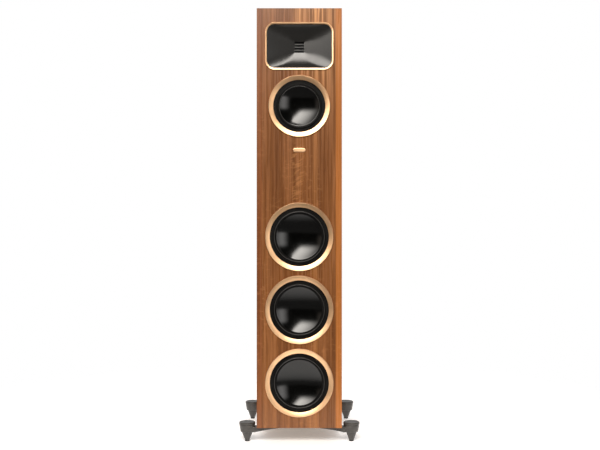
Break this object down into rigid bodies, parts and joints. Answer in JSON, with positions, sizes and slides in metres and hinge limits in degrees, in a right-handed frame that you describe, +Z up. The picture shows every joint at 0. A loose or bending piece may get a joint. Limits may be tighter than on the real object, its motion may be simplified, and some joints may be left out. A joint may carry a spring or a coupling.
{
  "type": "floorstanding speaker",
  "caption": "Tall narrow walnut loudspeaker with a horn tweeter, a midrange and a column of woofers in bronze rings, on outrigger feet.",
  "frame": {"origin": "bottom centre of the whole speaker's box, on the floor", "axes": "+X to the right seen from the front, front baffle faces -Y, +Z up"},
  "size_m": [0.328, 0.362, 1.174],
  "materials": {
    "walnut": "satin open-grain walnut veneer",
    "mdf": "raw fibreboard, black stained underneath",
    "felt": "loose grey felt",
    "bronze_trim": "satin pale bronze anodised",
    "horn_plastic": "satin charcoal moulding",
    "ribbon_foil": "pleated foil",
    "motor_steel": "plated",
    "ferrite": "sintered ferrite",
    "port_plastic": "fine textured black",
    "terminal_brass": "gold plated",
    "knob_red": "clear red",
    "knob_black": "clear black",
    "circuit_board": "solder mask",
    "copper_wire": "enamelled copper winding",
    "component_case": "smooth",
    "wire_jacket": "smooth jacket",
    "black_steel": "black oxide",
    "cast_metal": "satin warm grey powder coat",
    "foot_metal": "satin warm grey powder coat, black rubber tip",
    "gasket_foam": "closed-cell foam",
    "basket_metal": "satin black",
    "cone_gloss": "gloss black",
    "coil_metal": "wound wire on a foil former",
    "surround_rubber": "satin black rubber",
    "spider_cloth": "resin-stiffened cloth"
  },
  "bodies": {
    "cabinet": {"front_baffle": "walnut", "left_side_panel": "walnut", "right_side_panel": "walnut", "top_panel": "walnut", "bottom_panel": "mdf", "rear_panel": "walnut", "internal_panels": "mdf", "damping_pads": "felt", "badge": "bronze_trim", "tweeter_bezel": "bronze_trim", "tweeter_waveguide": "horn_plastic", "tweeter_diaphragm": "ribbon_foil", "tweeter_motor": "motor_steel", "port_tubes": "port_plastic", "terminal_cup": "port_plastic", "binding_posts": "terminal_brass", "crossover_board": "circuit_board", "crossover_inductors": "copper_wire", "crossover_capacitors": "component_case", "wiring_harness": "wire_jacket", "outrigger_bolts": "black_steel", "hub_caps": "cast_metal", "driver_motor_steel": "motor_steel", "driver_magnets": "ferrite", "driver_gaskets": "gasket_foam", "driver_screws": "black_steel", "outrigger_front_left": "cast_metal", "outrigger_front_right": "cast_metal", "outrigger_rear_left": "cast_metal", "outrigger_rear_right": "cast_metal", "mid_trim_ring": "bronze_trim", "woofer_upper_trim_ring": "bronze_trim", "woofer_middle_trim_ring": "bronze_trim", "woofer_lower_trim_ring": "bronze_trim", "mid_basket": "basket_metal", "woofer_upper_basket": "basket_metal", "woofer_middle_basket": "basket_metal", "woofer_lower_basket": "basket_metal"},
    "mid_moving": {"mid_cone": "cone_gloss", "mid_voice_coil": "coil_metal", "mid_surround": "surround_rubber", "mid_spider": "spider_cloth"},
    "woofer_upper_moving": {"woofer_upper_cone": "cone_gloss", "woofer_upper_voice_coil": "coil_metal", "woofer_upper_surround": "surround_rubber", "woofer_upper_spider": "spider_cloth"},
    "woofer_middle_moving": {"woofer_middle_cone": "cone_gloss", "woofer_middle_voice_coil": "coil_metal", "woofer_middle_surround": "surround_rubber", "woofer_middle_spider": "spider_cloth"},
    "woofer_lower_moving": {"woofer_lower_cone": "cone_gloss", "woofer_lower_voice_coil": "coil_metal", "woofer_lower_surround": "surround_rubber", "woofer_lower_spider": "spider_cloth"},
    "foot_front_left": {"levelling_foot_front_left": "foot_metal"},
    "foot_front_right": {"levelling_foot_front_right": "foot_metal"},
    "foot_rear_left": {"levelling_foot_rear_left": "foot_metal"},
    "foot_rear_right": {"levelling_foot_rear_right": "foot_metal"},
    "knob_red": {"binding_knob_red": "knob_red"},
    "knob_black": {"binding_knob_black": "knob_black"}
  },
  "joints": [
    {"name": "mid_travel", "type": "slide", "parent": "cabinet", "child": "mid_moving", "axis": [0, -1, 0], "range_m": [-0.003, 0.003], "stiffness_N_per_m": 1500, "deforming": ["mid_surround", "mid_spider"]},
    {"name": "woofer_upper_travel", "type": "slide", "parent": "cabinet", "child": "woofer_upper_moving", "axis": [0, -1, 0], "range_m": [-0.005, 0.005], "stiffness_N_per_m": 1200, "deforming": ["woofer_upper_surround", "woofer_upper_spider"]},
    {"name": "woofer_middle_travel", "type": "slide", "parent": "cabinet", "child": "woofer_middle_moving", "axis": [0, -1, 0], "range_m": [-0.005, 0.005], "stiffness_N_per_m": 1200, "deforming": ["woofer_middle_surround", "woofer_middle_spider"]},
    {"name": "woofer_lower_travel", "type": "slide", "parent": "cabinet", "child": "woofer_lower_moving", "axis": [0, -1, 0], "range_m": [-0.005, 0.005], "stiffness_N_per_m": 1200, "deforming": ["woofer_lower_surround", "woofer_lower_spider"]},
    {"name": "foot_front_left_height", "type": "slide", "parent": "cabinet", "child": "foot_front_left", "axis": [0, 0, -1], "range_m": [0, 0.01]},
    {"name": "foot_front_right_height", "type": "slide", "parent": "cabinet", "child": "foot_front_right", "axis": [0, 0, -1], "range_m": [0, 0.01]},
    {"name": "foot_rear_left_height", "type": "slide", "parent": "cabinet", "child": "foot_rear_left", "axis": [0, 0, -1], "range_m": [0, 0.01]},
    {"name": "foot_rear_right_height", "type": "slide", "parent": "cabinet", "child": "foot_rear_right", "axis": [0, 0, -1], "range_m": [0, 0.01]},
    {"name": "knob_red_unscrew", "type": "slide", "parent": "cabinet", "child": "knob_red", "axis": [0, 1, 0], "range_m": [0, 0.006]},
    {"name": "knob_black_unscrew", "type": "slide", "parent": "cabinet", "child": "knob_black", "axis": [0, 1, 0], "range_m": [0, 0.006]}
  ]
}
